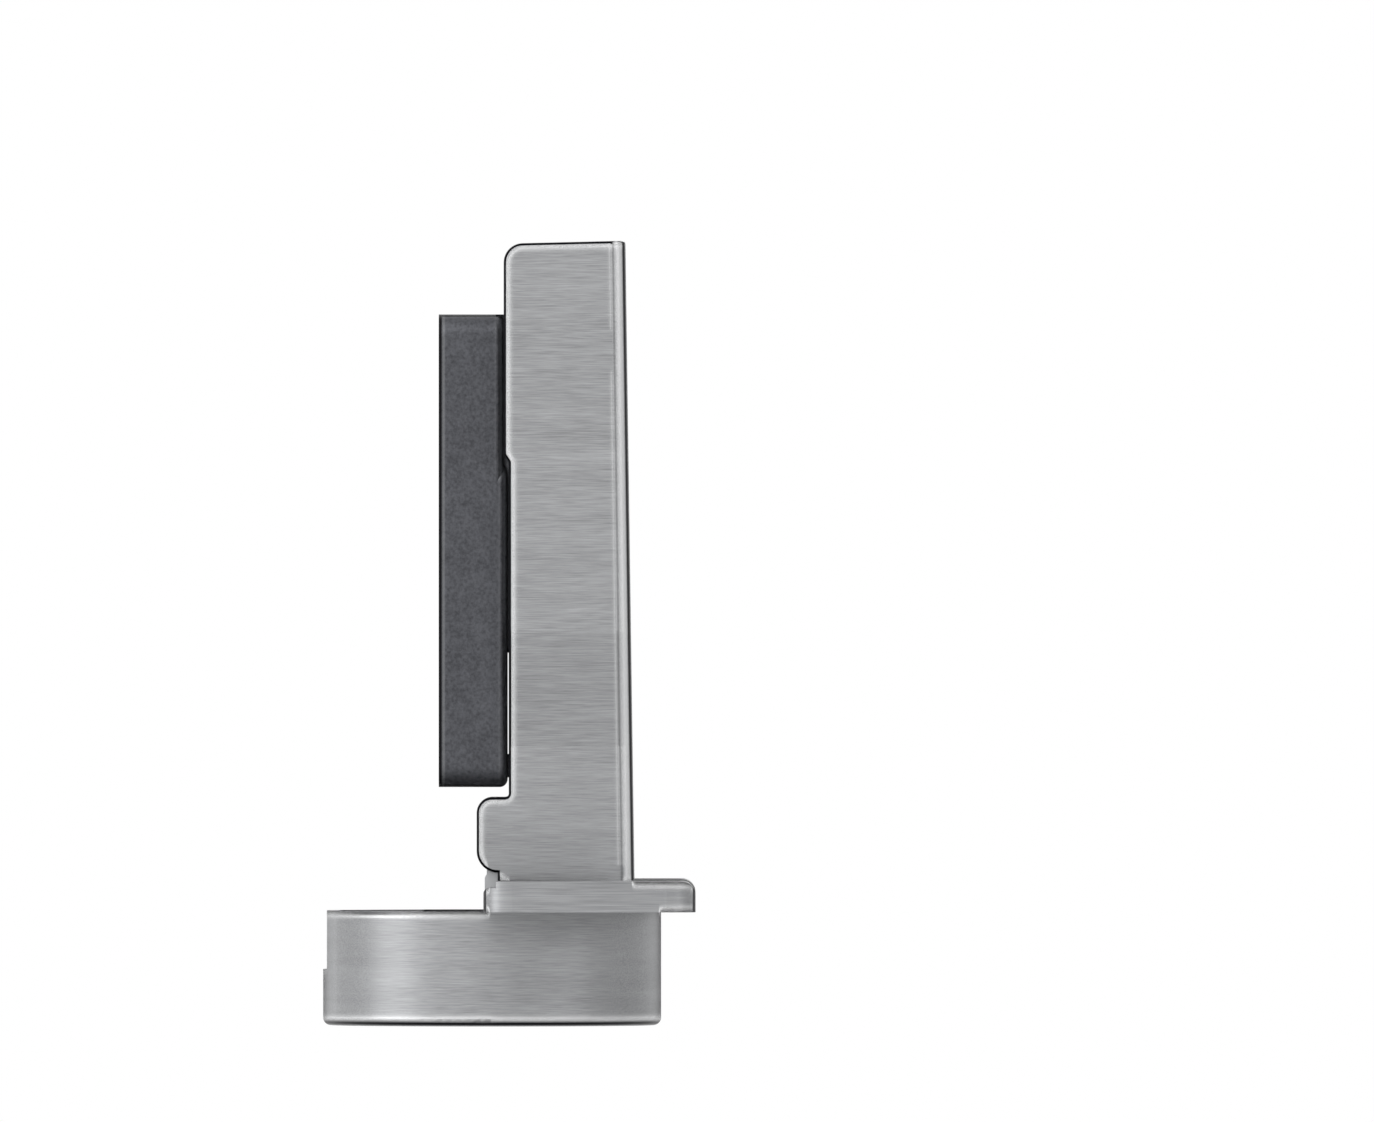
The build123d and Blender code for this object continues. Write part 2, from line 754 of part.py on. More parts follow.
def hinge_cup():
    """Die-cast cup with its wings, that holds the links' pins and the damper."""
    cup_radius = cup_diameter / 2
    body = Pos(cup_x, 0, door_z - cup_depth) * Cylinder(
        cup_radius, cup_depth, align=(Align.CENTER, Align.CENTER, Align.MIN)
    )
    body = fillet(body.faces().sort_by(Axis.Z)[0].edges(), cup_edge)
    relief_x = cup_x - cup_radius + cup_relief_depth
    body -= block(
        (cup_x - cup_radius - past, -cup_radius, door_z - cup_relief_height),
        (relief_x, cup_radius, door_z + past),
    )

    wing_width = wing_rear_x - wing_front_x
    wing_x = (wing_rear_x + wing_front_x) / 2
    plan = Pos(wing_x, 0, door_z) * RectangleRounded(wing_width, wing_span, wing_corner)
    wings = extrude(plan, wing_thickness) & across(wing_side(), wing_span / 2)
    wings -= block(
        (wing_front_x - past, -wing_channel_width / 2, door_z + wing_channel_height),
        (wing_rear_x + past, wing_channel_width / 2, door_z + wing_thickness + past),
    )
    body += wings

    pocket_radius = cup_radius - cup_wall
    pocket = Pos(cup_x, 0, pocket_floor) * Cylinder(
        pocket_radius, cup_depth + wing_thickness, align=(Align.CENTER, Align.CENTER, Align.MIN)
    )
    for side in (-1, 1):
        cheek_low = cup_pocket_width / 2
        y_low, y_high = sorted((side * cheek_low, side * cup_radius))
        pocket -= block(
            (cup_x - cup_radius, y_low, pocket_floor - past), (cup_cheek_end, y_high, door_z + past)
        )
    pocket += block(
        (cup_x - cup_pocket_end, -cup_pocket_width / 2, pocket_floor),
        (cup_x, cup_pocket_width / 2, door_z + past),
    )
    body -= pocket

    for place in (cup_pivot_outer, cup_pivot_inner):
        body -= cross_pin(place, cup_pin_diameter, cup_pin_length)

    screw_x = cup_x + door_screw_offset
    for y in (-door_screw_pitch / 2, door_screw_pitch / 2):
        body -= Pos(screw_x, y, door_z) * Cylinder(door_screw_hole / 2, 4 * wing_thickness)
        sink = Cone(
            door_screw_hole / 2,
            door_screw_head / 2,
            (door_screw_head - door_screw_hole) / 2,
            align=(Align.CENTER, Align.CENTER, Align.MAX),
        )
        body -= Pos(screw_x, y, door_z + wing_thickness) * sink
    return body


def closing_spring():
    """Torsion spring round the deeper cup pin, with a leg on the floor and one on a link."""
    radius = cup_pin_diameter / 2 + closing_wire / 2 + coil_play
    length = closing_turns * closing_wire * coil_pitch
    pin_x, pin_height = cup_pivot_inner
    place = Plane(
        origin=(pin_x, length / 2, door_z + pin_height), x_dir=(1, 0, 0), z_dir=(0, -1, 0)
    )
    spring = place * coil(radius, closing_wire, closing_turns, length)
    leg_z = door_z + pin_height - radius
    leg_run = (1, 0, closing_leg_rise)
    leg_start = Plane(origin=(pin_x, -length / 2 + closing_wire, leg_z), z_dir=leg_run)
    spring += extrude(leg_start * Circle(closing_wire / 2), closing_leg)
    foot_length = door_z + pin_height - pocket_floor
    foot_start = Plane(origin=(pin_x - radius, length / 2 - closing_wire, pocket_floor), z_dir=(0, 0, 1))
    spring += extrude(foot_start * Circle(closing_wire / 2), foot_length)
    return spring


def damper_housing():
    """Moulded block in the cup that holds the soft-close plunger and its switch."""
    top = door_z + damper_top
    body = block(
        (damper_front_x, -damper_width / 2, pocket_floor),
        (cup_x + damper_reach + past, damper_width / 2, top),
    )
    body &= Pos(cup_x, 0, pocket_floor - past) * Cylinder(
        damper_reach, cup_depth + past, align=(Align.CENTER, Align.CENTER, Align.MIN)
    )
    body = chamfer(body.faces().sort_by(Axis.Z)[-1].edges(), damper_corner)
    bore_end = cup_x + damper_reach - plunger_rear_wall
    bore_radius = plunger_diameter / 2 + pin_fit
    body -= post(damper_front_x - past, bore_end, bore_radius, z=door_z + plunger_height)
    slot_half = switch_width / 2 + switch_travel + gap
    body -= block(
        (switch_x - gap / 2, -slot_half, top - switch_depth),
        (switch_x + switch_length + gap / 2, slot_half, top + past),
    )
    return body


def damper_plunger():
    """Piston that the inner link pushes in as the door closes."""
    height = door_z + plunger_height
    plunger = post(plunger_front_x, plunger_rear_x, plunger_diameter / 2, z=height)
    return fillet(plunger.faces().sort_by(Axis.X)[0].edges(), plunger_diameter / 2 - plunger_tip_flat)


def plunger_spring():
    """Return spring behind the plunger."""
    bore_end = cup_x + damper_reach - plunger_rear_wall
    radius = plunger_diameter / 2 - plunger_wire / 2 - coil_play
    start = plunger_rear_x + plunger_wire / 2 + pin_fit
    length = bore_end - plunger_wire / 2 - pin_fit - start
    place = Plane(origin=(start, 0, door_z + plunger_height), z_dir=(1, 0, 0))
    return place * coil(radius, plunger_wire, plunger_turns, length)


def damper_switch():
    """Small slider on the damper that turns the soft closing off."""
    top = door_z + damper_top
    base = block(
        (switch_x, -switch_width / 2, top - switch_depth + pin_fit),
        (switch_x + switch_length, switch_width / 2, top + switch_rise),
    )
    return fillet(base.faces().sort_by(Axis.Z)[-1].edges(), switch_round)


parts = {
    "mounting_plate": mounting_plate(),
    "clip_carrier": clip_carrier(),
    "lever_pin": lever_pin(),
    "release_lever": release_lever(),
    "lever_spring": lever_spring(),
    "depth_slider": depth_slider(),
    "depth_cam": depth_cam(),
    "side_screw": side_screw(),
    "tilt_pin": tilt_pin(),
    "hinge_arm": hinge_arm(),
    "front_arm_pin": arm_pin(arm_pivot_front),
    "rear_arm_pin": arm_pin(arm_pivot_rear),
    "outer_link": outer_link(),
    "inner_link": inner_link(),
    "hinge_cup": hinge_cup(),
    "outer_cup_pin": cup_pin(cup_pivot_outer),
    "inner_cup_pin": cup_pin(cup_pivot_inner),
    "closing_spring": closing_spring(),
    "damper_housing": damper_housing(),
    "damper_plunger": damper_plunger(),
    "plunger_spring": plunger_spring(),
    "damper_switch": damper_switch(),
}

os.makedirs("parts", exist_ok=True)
for name, solid in parts.items():
    export_step(solid, f"parts/{name}.step")
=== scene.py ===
"""Looks of a concealed cup hinge, closed, seen square from its side."""

import logging
import math
from dataclasses import dataclass, field, replace
from enum import Enum

import bmesh
import bpy
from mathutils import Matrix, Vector


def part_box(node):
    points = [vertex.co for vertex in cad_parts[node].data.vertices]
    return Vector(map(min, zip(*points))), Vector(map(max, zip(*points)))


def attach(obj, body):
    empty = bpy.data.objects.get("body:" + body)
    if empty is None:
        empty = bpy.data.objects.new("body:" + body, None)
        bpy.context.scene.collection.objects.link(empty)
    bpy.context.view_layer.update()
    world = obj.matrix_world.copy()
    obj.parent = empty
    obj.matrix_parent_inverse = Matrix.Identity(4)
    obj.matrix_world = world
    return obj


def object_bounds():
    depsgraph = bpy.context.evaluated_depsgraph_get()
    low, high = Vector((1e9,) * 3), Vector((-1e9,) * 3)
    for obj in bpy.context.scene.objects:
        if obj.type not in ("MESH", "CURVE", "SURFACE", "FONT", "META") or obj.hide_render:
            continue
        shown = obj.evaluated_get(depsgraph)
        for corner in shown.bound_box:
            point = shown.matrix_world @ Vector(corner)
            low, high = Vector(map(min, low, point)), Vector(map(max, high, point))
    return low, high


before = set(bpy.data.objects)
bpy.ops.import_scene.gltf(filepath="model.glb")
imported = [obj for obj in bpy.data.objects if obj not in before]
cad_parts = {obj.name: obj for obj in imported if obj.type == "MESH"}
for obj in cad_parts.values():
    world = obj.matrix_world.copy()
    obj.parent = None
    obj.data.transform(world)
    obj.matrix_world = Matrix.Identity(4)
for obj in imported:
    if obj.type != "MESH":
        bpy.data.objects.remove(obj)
CAD_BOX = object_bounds()

MM = 0.001
LOG = logging.getLogger("hinge")

Colour = tuple[float, float, float]
Place = tuple[float, float, float]
Ends = tuple[float, float]
Socket = bpy.types.NodeSocket
Value = float | Socket

RISE: Ends = (0.0, 1.0)
FALL: Ends = (1.0, 0.0)
NOISE: Ends = (0.3, 0.7)
TURNED: Ends = (0.6, 0.8)
WHITE = (1.0, 1.0, 1.0)
NOISE_ROUGHNESS = 0.6
BEVEL_SAMPLES = 6

LOOKS_THAT_WAY = 0.8
NORMAL_DIGITS = 2
OFFSET_DIGITS = 1

RIB_STEPS = 8
RIB_END_LEAN = 0.4


class Tex(Enum):
    """Sets of coordinates that a finish or the sky may follow."""

    PLACE = "Object"
    NORMAL = "Normal"
    WAY = "Generated"


class Rounds(Enum):
    """Small rounded edges of a piece, on which a finish paints shade."""

    NONE = "none"
    SIDES = "all round the two flat sides"
    FOOT = "round the underside"


class Graph:
    """Node tree, with short calls for its nodes."""

    def __init__(self, tree: bpy.types.NodeTree) -> None:
        """Empty a tree and give it a node of coordinates.

        Args:
            tree: The tree.
        """
        self.tree = tree
        self.tree.nodes.clear()
        self.coordinates = self.add("TexCoord")

    def add(self, kind: str, inputs: dict | None = None, **settings: object) -> bpy.types.Node:
        """Add a node.

        Args:
            kind: Blender's name for the node, without its prefix.
            inputs: Socket names or indices, each with a value or a socket to link from.
            settings: Attributes of the node.

        Returns:
            The new node.
        """
        node = self.tree.nodes.new("ShaderNode" + kind)
        for name, value in settings.items():
            setattr(node, name, value)
        for name, value in (inputs or {}).items():
            if isinstance(value, Socket):
                self.tree.links.new(value, node.inputs[name])
            else:
                node.inputs[name].default_value = value
        return node

    def follow(self, tex: Tex, scale: Place = (1.0, 1.0, 1.0)) -> Socket:
        """Coordinates of the surface, stretched along X, Y and Z."""
        source = self.coordinates.outputs[tex.value]
        return self.add("Mapping", {"Vector": source, "Scale": scale}).outputs[0]

    def parts(self, tex: Tex) -> tuple[Socket, Socket, Socket]:
        """Coordinates of the surface along X, Y and Z."""
        return tuple(self.add("SeparateXYZ", {0: self.follow(tex)}).outputs)

    def math(self, operation: str, *values: Value) -> Socket:
        """Result of a scalar operation on values or sockets."""
        return self.add("Math", dict(enumerate(values)), operation=operation).outputs[0]

    def times(self, first: Value, second: Value) -> Socket:
        """Product of two values."""
        return self.math("MULTIPLY", first, second)

    def size(self, value: Socket) -> Socket:
        """A value without its sign."""
        return self.math("ABSOLUTE", value)

    def most(self, first: Socket, *others: Socket) -> Socket:
        """Largest of some values.

        Args:
            first: One of them.
            others: The others.

        Returns:
            The socket that carries it.
        """
        for other in others:
            first = self.math("MAXIMUM", first, other)
        return first

    def blend(self, first: Socket, second: Socket, share: float) -> Socket:
        """Two values added up, with the second one's share of the whole."""
        return self.math("ADD", self.times(first, 1 - share), self.times(second, share))

    def span(self, value: Socket, ends: Ends, to: tuple[Value, Value] = RISE) -> Socket:
        """A value's range between two ends mapped on another, clamped at both."""
        inputs = {0: value, 1: ends[0], 2: ends[1], 3: to[0], 4: to[1]}
        return self.add("MapRange", inputs).outputs[0]

    def inside(self, value: Socket, ends: Ends, soft: float) -> Socket:
        """Whether a value lies between two others, with soft ends.

        Args:
            value: Socket to test.
            ends: The two others.
            soft: Half width of each soft end.

        Returns:
            The socket that is 1 inside and 0 outside.
        """
        above = self.span(value, (ends[0] - soft, ends[0] + soft))
        below = self.span(value, (ends[1] - soft, ends[1] + soft), FALL)
        return self.times(above, below)

    def close(self, kind: str, shader: bpy.types.Node) -> None:
        """End the tree with its output node."""
        self.add("Output" + kind, {0: shader.outputs[0]})


class MaterialGraph(Graph):
    """Node tree of one material."""

    def __init__(self, name: str) -> None:
        """Start an empty material.

        Args:
            name: Name of the material.
        """
        self.material = bpy.data.materials.new(name)
        self.material.use_nodes = True
        super().__init__(self.material.node_tree)

    def noise(self, vector: Socket, detail: float) -> Socket:
        """Noise of unit size along the given coordinates."""
        inputs = {"Vector": vector, "Scale": 1.0, "Detail": detail, "Roughness": NOISE_ROUGHNESS}
        return self.add("TexNoise", inputs).outputs[0]

    def cloud(self, size: float, detail: float) -> Socket:
        """Noise of one size, in metres, along all axes."""
        return self.noise(self.follow(Tex.PLACE, (1 / size,) * 3), detail)

    def tint(self, tone: Colour, scale: Socket) -> Socket:
        """A colour made lighter or darker by a scalar."""
        return self.add("VectorMath", {0: tone, "Scale": scale}, operation="SCALE").outputs[0]

    def cover(self, base: Socket, tone: Colour, share: Socket) -> Socket:
        """A base colour with a share of another tone laid over it."""
        inputs = {0: share, 6: base, 7: (*tone, 1.0)}
        return self.add("Mix", inputs, data_type="RGBA").outputs[2]

    def edge_mask(self, radius: float) -> Socket:
        """Nearness to a sharp edge: 0 away from edges, about 0.3 on one.

        Args:
            radius: Width of the band beside the edge, in metres.

        Returns:
            The socket that carries it.
        """
        bevel = self.add("Bevel", {"Radius": radius}, samples=BEVEL_SAMPLES)
        flat = self.add("NewGeometry").outputs["Normal"]
        along = self.add("VectorMath", {0: bevel.outputs[0], 1: flat}, operation="DOT_PRODUCT")
        return self.math("SUBTRACT", 1.0, along.outputs["Value"])

    def calm(self, mask: Socket, fields: tuple["Field", ...]) -> Socket:
        """A mask taken out of some fields of the side view.

        Args:
            mask: The mask.
            fields: The fields that stay plain.

        Returns:
            The mask without them.
        """
        x, _, z = self.parts(Tex.PLACE)
        for spot in fields:
            within = self.times(
                self.inside(x, spot.x, spot.soft),
                self.inside(z, spot.z, spot.soft),
            )
            mask = self.times(mask, self.math("SUBTRACT", 1.0, within))
        return mask

    def bump(self, height: Socket, strength: float, distance: float) -> Socket:
        """Normal of a surface whose relief is as high as the distance, in metres."""
        inputs = {"Height": height, "Strength": strength, "Distance": distance}
        return self.add("Bump", inputs).outputs[0]

    def finish(
        self, colour: Socket, rough: Socket, normal: Socket, metallic: float
    ) -> bpy.types.Material:
        """Close the tree with its surface shader.

        Args:
            colour: Base colour.
            rough: Roughness.
            normal: Normal with its relief.
            metallic: 1 for metal and 0 for plastic.

        Returns:
            The finished material.
        """
        inputs = {
            "Base Color": colour,
            "Roughness": rough,
            "Normal": normal,
            "Metallic": metallic,
        }
        self.close("Material", self.add("BsdfPrincipled", inputs))
        return self.material


def around(middle: float, spread: float) -> Ends:
    """The two values that lie as far from a middle one."""
    return middle - spread, middle + spread


@dataclass(frozen=True)
class Field:
    """Field of the side view in which a finish paints no highlight or shade on the edges."""

    x: Ends
    z: Ends
    soft: float = 0.25 * MM


@dataclass(frozen=True)
class BrushedSteel:
    """Satin metal with fine streaks, a painted highlight beside its edges and painted shade on
    them.

    A pair of ends on a rounded edge says which part of the surface normal it covers.
    """

    name: str
    tone: Colour
    rounds: Rounds = Rounds.NONE
    plain: tuple[Field, ...] = ()
    contrast: float = 0.3
    streak_length: float = 3.2 * MM
    streak_width: float = 0.11 * MM
    streak_detail: float = 4.0
    cloud_length: float = 19.2 * MM
    cloud_width: float = 1.54 * MM
    cloud_detail: float = 2.0
    cloud_share: float = 0.25
    round_x: float | None = None
    round_radius: float = 17.5 * MM
    # glint is the colour of the painted highlight beside the edges, and shadow that of the
    # painted shade on them.
    glint: Colour = (0.93, 0.935, 0.94)
    shadow: Colour = (0.008, 0.008, 0.01)
    edge_band: float = 1.3 * MM
    edge_glint: float = 0.004
    glint_growth: float = 2.5
    edge_shade: float = 0.055
    shade_growth: float = 0.04
    shade_depth: float = 0.96
    # Ends on the normal where the flat sides get painted highlight and painted shade on their
    # folds and on their sheet edges.
    fold: Ends = (0.1, 0.3)
    fold_glint: float = 0.55
    fold_shine: Ends = (0.66, 0.9)
    fold_shade: Ends = (0.26, 0.6)
    fold_soft: float = 0.05
    cut_shade: Ends = (0.05, 0.985)
    cut_soft: float = 0.01
    # Ends on the normal and on the height where the cup gets painted shade under its rounded
    # foot and on the wings' corners above the door.
    under: Ends = (-0.97, -0.35)
    under_soft: float = 0.2
    corner: Ends = (0.9, 0.993)
    corner_soft: float = 0.006
    door_z: float = -38.2 * MM
    door_soft: float = 0.1 * MM
    rough: Ends = (0.29, 0.45)
    relief_share: float = 0.3
    relief: float = 0.012 * MM

    def material(self) -> bpy.types.Material:
        """Build the material.

        Returns:
            The material.
        """
        graph = MaterialGraph(self.name)
        streak = self.streaks(graph)
        stretch = (1 / self.cloud_length, 1 / self.cloud_length, 1 / self.cloud_width)
        cloud = graph.noise(graph.follow(Tex.PLACE, stretch), self.cloud_detail)
        level = graph.blend(streak, cloud, self.cloud_share)
        body = graph.tint(self.tone, graph.span(level, NOISE, around(1.0, self.contrast)))
        edge = graph.calm(graph.edge_mask(self.edge_band), self.plain)
        # Painted highlight in a band beside the sharp edges, and painted shade on the edges
        # themselves.
        painted_highlight_mask = graph.span(edge, (self.edge_glint, self.edge_glint * self.glint_growth))
        shade_ends = (self.edge_shade, self.edge_shade + self.shade_growth)
        painted_shade_mask = graph.span(edge, shade_ends, (0.0, self.shade_depth))
        if self.rounds is Rounds.SIDES:
            shine, lines = self.side_rounds(graph)
            painted_highlight_mask = graph.most(painted_highlight_mask, shine)
            painted_shade_mask = graph.most(painted_shade_mask, *lines)
        if self.rounds is Rounds.FOOT:
            painted_shade_mask = graph.most(painted_shade_mask, *self.foot_rounds(graph))
        # The painted highlight, then the painted shade, laid over the streaked body.
        lit = graph.cover(body, self.glint, painted_highlight_mask)
        colour = graph.cover(lit, self.shadow, painted_shade_mask)
        rough = graph.span(streak, NOISE, self.rough)
        normal = graph.bump(streak, self.relief_share, self.relief)
        return graph.finish(colour, rough, normal, 1.0)

    def streaks(self, graph: MaterialGraph) -> Socket:
        """Streaks along X on the sides, and along Y on the front and on level faces.

        Args:
            graph: Node tree that takes them.

        Returns:
            The streaks' noise.
        """
        along, across = 1 / self.streak_length, 1 / self.streak_width
        side = graph.noise(self.side_run(graph, along, across), self.streak_detail)
        run = graph.follow(Tex.PLACE, (across, along, across))
        front = graph.noise(run, self.streak_detail)
        x, _, z = graph.parts(Tex.NORMAL)
        share = graph.span(graph.most(graph.size(x), graph.size(z)), TURNED)
        return graph.add("Mix", {0: share, 2: side, 3: front}).outputs[0]

    def side_run(self, graph: MaterialGraph, along: float, across: float) -> Socket:
        """Coordinates of streaks on the sides, straight along X or wound round the cup.

        Args:
            graph: Node tree that takes them.
            along: Stretch along the streaks.
            across: Stretch across them.

        Returns:
            The coordinates.
        """
        if self.round_x is None:
            return graph.follow(Tex.PLACE, (along, across, across))
        x, y, z = graph.parts(Tex.PLACE)
        angle = graph.math("ARCTAN2", y, graph.math("SUBTRACT", x, self.round_x))
        arc = graph.times(angle, self.round_radius * along)
        return graph.add("CombineXYZ", {0: arc, 2: graph.times(z, across)}).outputs[0]

    def side_rounds(self, graph: MaterialGraph) -> tuple[Socket, tuple[Socket, Socket]]:
        """Painted highlight and painted shade on the rounded edges of the flat sides, and on the
        folds to the front.

        Args:
            graph: Node tree that takes them.

        Returns:
            The painted highlight mask of the folds, and the painted shade masks of the edges and
            folds.
        """
        x, y, _ = graph.parts(Tex.NORMAL)
        lean = graph.size(y)
        fold = graph.span(x, self.fold)
        # Painted highlight on the folds; painted shade on the sheet's edges and on part of each
        # fold.
        shine = graph.times(graph.inside(lean, self.fold_shine, self.fold_soft), fold)
        elsewhere = graph.math("SUBTRACT", 1.0, fold)
        cut_shade_mask = graph.times(graph.inside(lean, self.cut_shade, self.cut_soft), elsewhere)
        fold_shade_mask = graph.times(graph.inside(lean, self.fold_shade, self.fold_soft), fold)
        return graph.times(shine, self.fold_glint), (cut_shade_mask, fold_shade_mask)

    def foot_rounds(self, graph: MaterialGraph) -> tuple[Socket, Socket]:
        """Painted shade masks of the underside's rounded edge and of the wings' corners.

        Args:
            graph: Node tree that takes them.

        Returns:
            The two masks.
        """
        x, _, z = graph.parts(Tex.NORMAL)
        height = graph.parts(Tex.PLACE)[2]
        # Painted shade under the cup's rounded foot and on the wings' corners above the door.
        under = graph.inside(z, self.under, self.under_soft)
        over_door = graph.span(height, around(self.door_z, self.door_soft))
        corner = graph.inside(graph.size(x), self.corner, self.corner_soft)
        return under, graph.times(corner, over_door)


@dataclass(frozen=True)
class PlatedSteel:
    """Zinc or nickel plating with a faint mottle and a painted highlight along its edges."""

    name: str
    tone: Colour
    roughness: float = 0.3
    smoother: float = 0.06
    rougher: float = 0.1
    mottle: float = 1.4 * MM
    mottle_detail: float = 5.0
    grit: float = 0.1 * MM
    grit_detail: float = 2.0
    contrast: float = 0.16
    edge_band: float = 0.16 * MM
    painted_edge_highlight: Ends = (0.03, 0.2)
    painted_highlight_depth: float = 0.6
    glint: Colour = (0.8, 0.81, 0.82)
    relief_share: float = 0.15
    relief: float = 0.008 * MM

    def material(self) -> bpy.types.Material:
        """Build the material.

        Returns:
            The material.
        """
        graph = MaterialGraph(self.name)
        cloud = graph.cloud(self.mottle, self.mottle_detail)
        grit = graph.cloud(self.grit, self.grit_detail)
        body = graph.tint(self.tone, graph.span(cloud, NOISE, around(1.0, self.contrast)))
        # Painted highlight along the edges.
        painted_edge_highlight = graph.span(graph.edge_mask(self.edge_band), self.painted_edge_highlight, (0.0, self.painted_highlight_depth))
        colour = graph.cover(body, self.glint, painted_edge_highlight)
        rough_ends = (self.roughness - self.smoother, self.roughness + self.rougher)
        normal = graph.bump(grit, self.relief_share, self.relief)
        return graph.finish(colour, graph.span(grit, NOISE, rough_ends), normal, 1.0)


@dataclass(frozen=True)
class CastPaint:
    """Dark stoved coat on a casting, with a fine pebbled grain.

    Its edges get a painted highlight and painted shade. A pair of ends on an edge or corner says
    which part of its mask it covers.
    """

    name: str
    tone: Colour
    grain: float = 0.34 * MM
    grain_detail: float = 3.0
    cloud: float = 3.06 * MM
    cloud_detail: float = 4.0
    cloud_share: float = 0.3
    level: Ends = (0.35, 0.65)
    contrast: float = 0.32
    edge_band: float = 1.1 * MM
    # Colours and ends of the painted highlight and painted shade on the edges and round the
    # foot.
    highlight_rim_tone: Colour = (0.3, 0.305, 0.315)
    shadow: Colour = (0.004, 0.004, 0.005)
    highlight_rim: Ends = (0.006, 0.03)
    highlight_rim_depth: float = 0.5
    line: Ends = (0.06, 0.12)
    shade_depth: float = 0.95
    corner: Ends = (0.88, 0.995)
    corner_soft: float = 0.003
    corner_shade_depth: float = 0.85
    upright: Ends = (0.4, 0.7)
    foot_shade: float = 0.32 * MM
    foot_highlight: float = 0.3 * MM
    foot_soft: float = 0.08 * MM
    foot_highlight_depth: float = 0.4
    rough: Ends = (0.42, 0.6)
    grit_height: float = 0.5
    relief_share: float = 0.55
    relief: float = 0.035 * MM

    def material(self) -> bpy.types.Material:
        """Build the material.

        Returns:
            The material.
        """
        graph = MaterialGraph(self.name)
        place = graph.follow(Tex.PLACE, (1 / self.grain,) * 3)
        pebbles = graph.add("TexVoronoi", {"Vector": place, "Scale": 1.0}, feature="SMOOTH_F1")
        grit = graph.noise(place, self.grain_detail)
        cloud = graph.cloud(self.cloud, self.cloud_detail)
        level = graph.blend(grit, cloud, self.cloud_share)
        body = graph.tint(self.tone, graph.span(level, self.level, around(1.0, self.contrast)))
        # Painted highlight along the edges and painted shade on them, over the grained body.
        highlight_rim, painted_shade_mask = self.lines(graph)
        lit = graph.cover(body, self.highlight_rim_tone, highlight_rim)
        colour = graph.cover(lit, self.shadow, painted_shade_mask)
        height = graph.math("ADD", pebbles.outputs[0], graph.times(grit, self.grit_height))
        rough = graph.span(grit, NOISE, self.rough)
        normal = graph.bump(height, self.relief_share, self.relief)
        return graph.finish(colour, rough, normal, 1.0)

    def lines(self, graph: MaterialGraph) -> tuple[Socket, Socket]:
        """Painted highlight and painted shade on the casting's edges, and painted shade round
        its foot at the mounting face with a painted highlight just above it.

        Args:
            graph: Node tree that takes them.

        Returns:
            The masks of the painted highlight and of the painted shade.
        """
        edge = graph.edge_mask(self.edge_band)
        highlight_rim = graph.span(edge, self.highlight_rim, (0.0, self.highlight_rim_depth))
        line = graph.span(edge, self.line, (0.0, self.shade_depth))
        normal_x, _, normal_z = graph.parts(Tex.NORMAL)
        corner = graph.inside(graph.size(normal_z), self.corner, self.corner_soft)
        side = graph.span(graph.size(normal_x), self.upright, FALL)
        out = graph.parts(Tex.PLACE)[0]
        # Painted shade round the foot at the mounting face, and a painted highlight just above
        # it, on upright faces only.
        foot_ends = around(self.foot_shade, self.foot_soft)
        foot = graph.span(out, foot_ends, (self.shade_depth, 0.0))
        above_ends = (self.foot_shade, self.foot_shade + self.foot_highlight)
        above = graph.times(graph.inside(out, above_ends, self.foot_soft), side)
        highlight_rim = graph.most(highlight_rim, graph.times(above, self.foot_highlight_depth))
        painted_shade_mask = graph.most(line, graph.times(foot, side), graph.times(corner, self.corner_shade_depth))
        return highlight_rim, painted_shade_mask


@dataclass(frozen=True)
class MouldedPlastic:
    """Moulded plastic with a spark-eroded grain."""

    name: str
    tone: Colour
    roughness: float
    smoother: float = 0.05
    rougher: float = 0.1
    grain: float = 0.2 * MM
    cloud: float = 3.6 * MM
    detail: float = 3.0
    contrast: float = 0.1
    relief_share: float = 0.2
    relief: float = 0.012 * MM

    def material(self) -> bpy.types.Material:
        """Build the material.

        Returns:
            The material.
        """
        graph = MaterialGraph(self.name)
        grit = graph.cloud(self.grain, self.detail)
        cloud = graph.cloud(self.cloud, self.detail)
        body = graph.tint(self.tone, graph.span(cloud, NOISE, around(1.0, self.contrast)))
        rough_ends = (self.roughness - self.smoother, self.roughness + self.rougher)
        normal = graph.bump(grit, self.relief_share, self.relief)
        return graph.finish(body, graph.span(grit, NOISE, rough_ends), normal, 0.0)


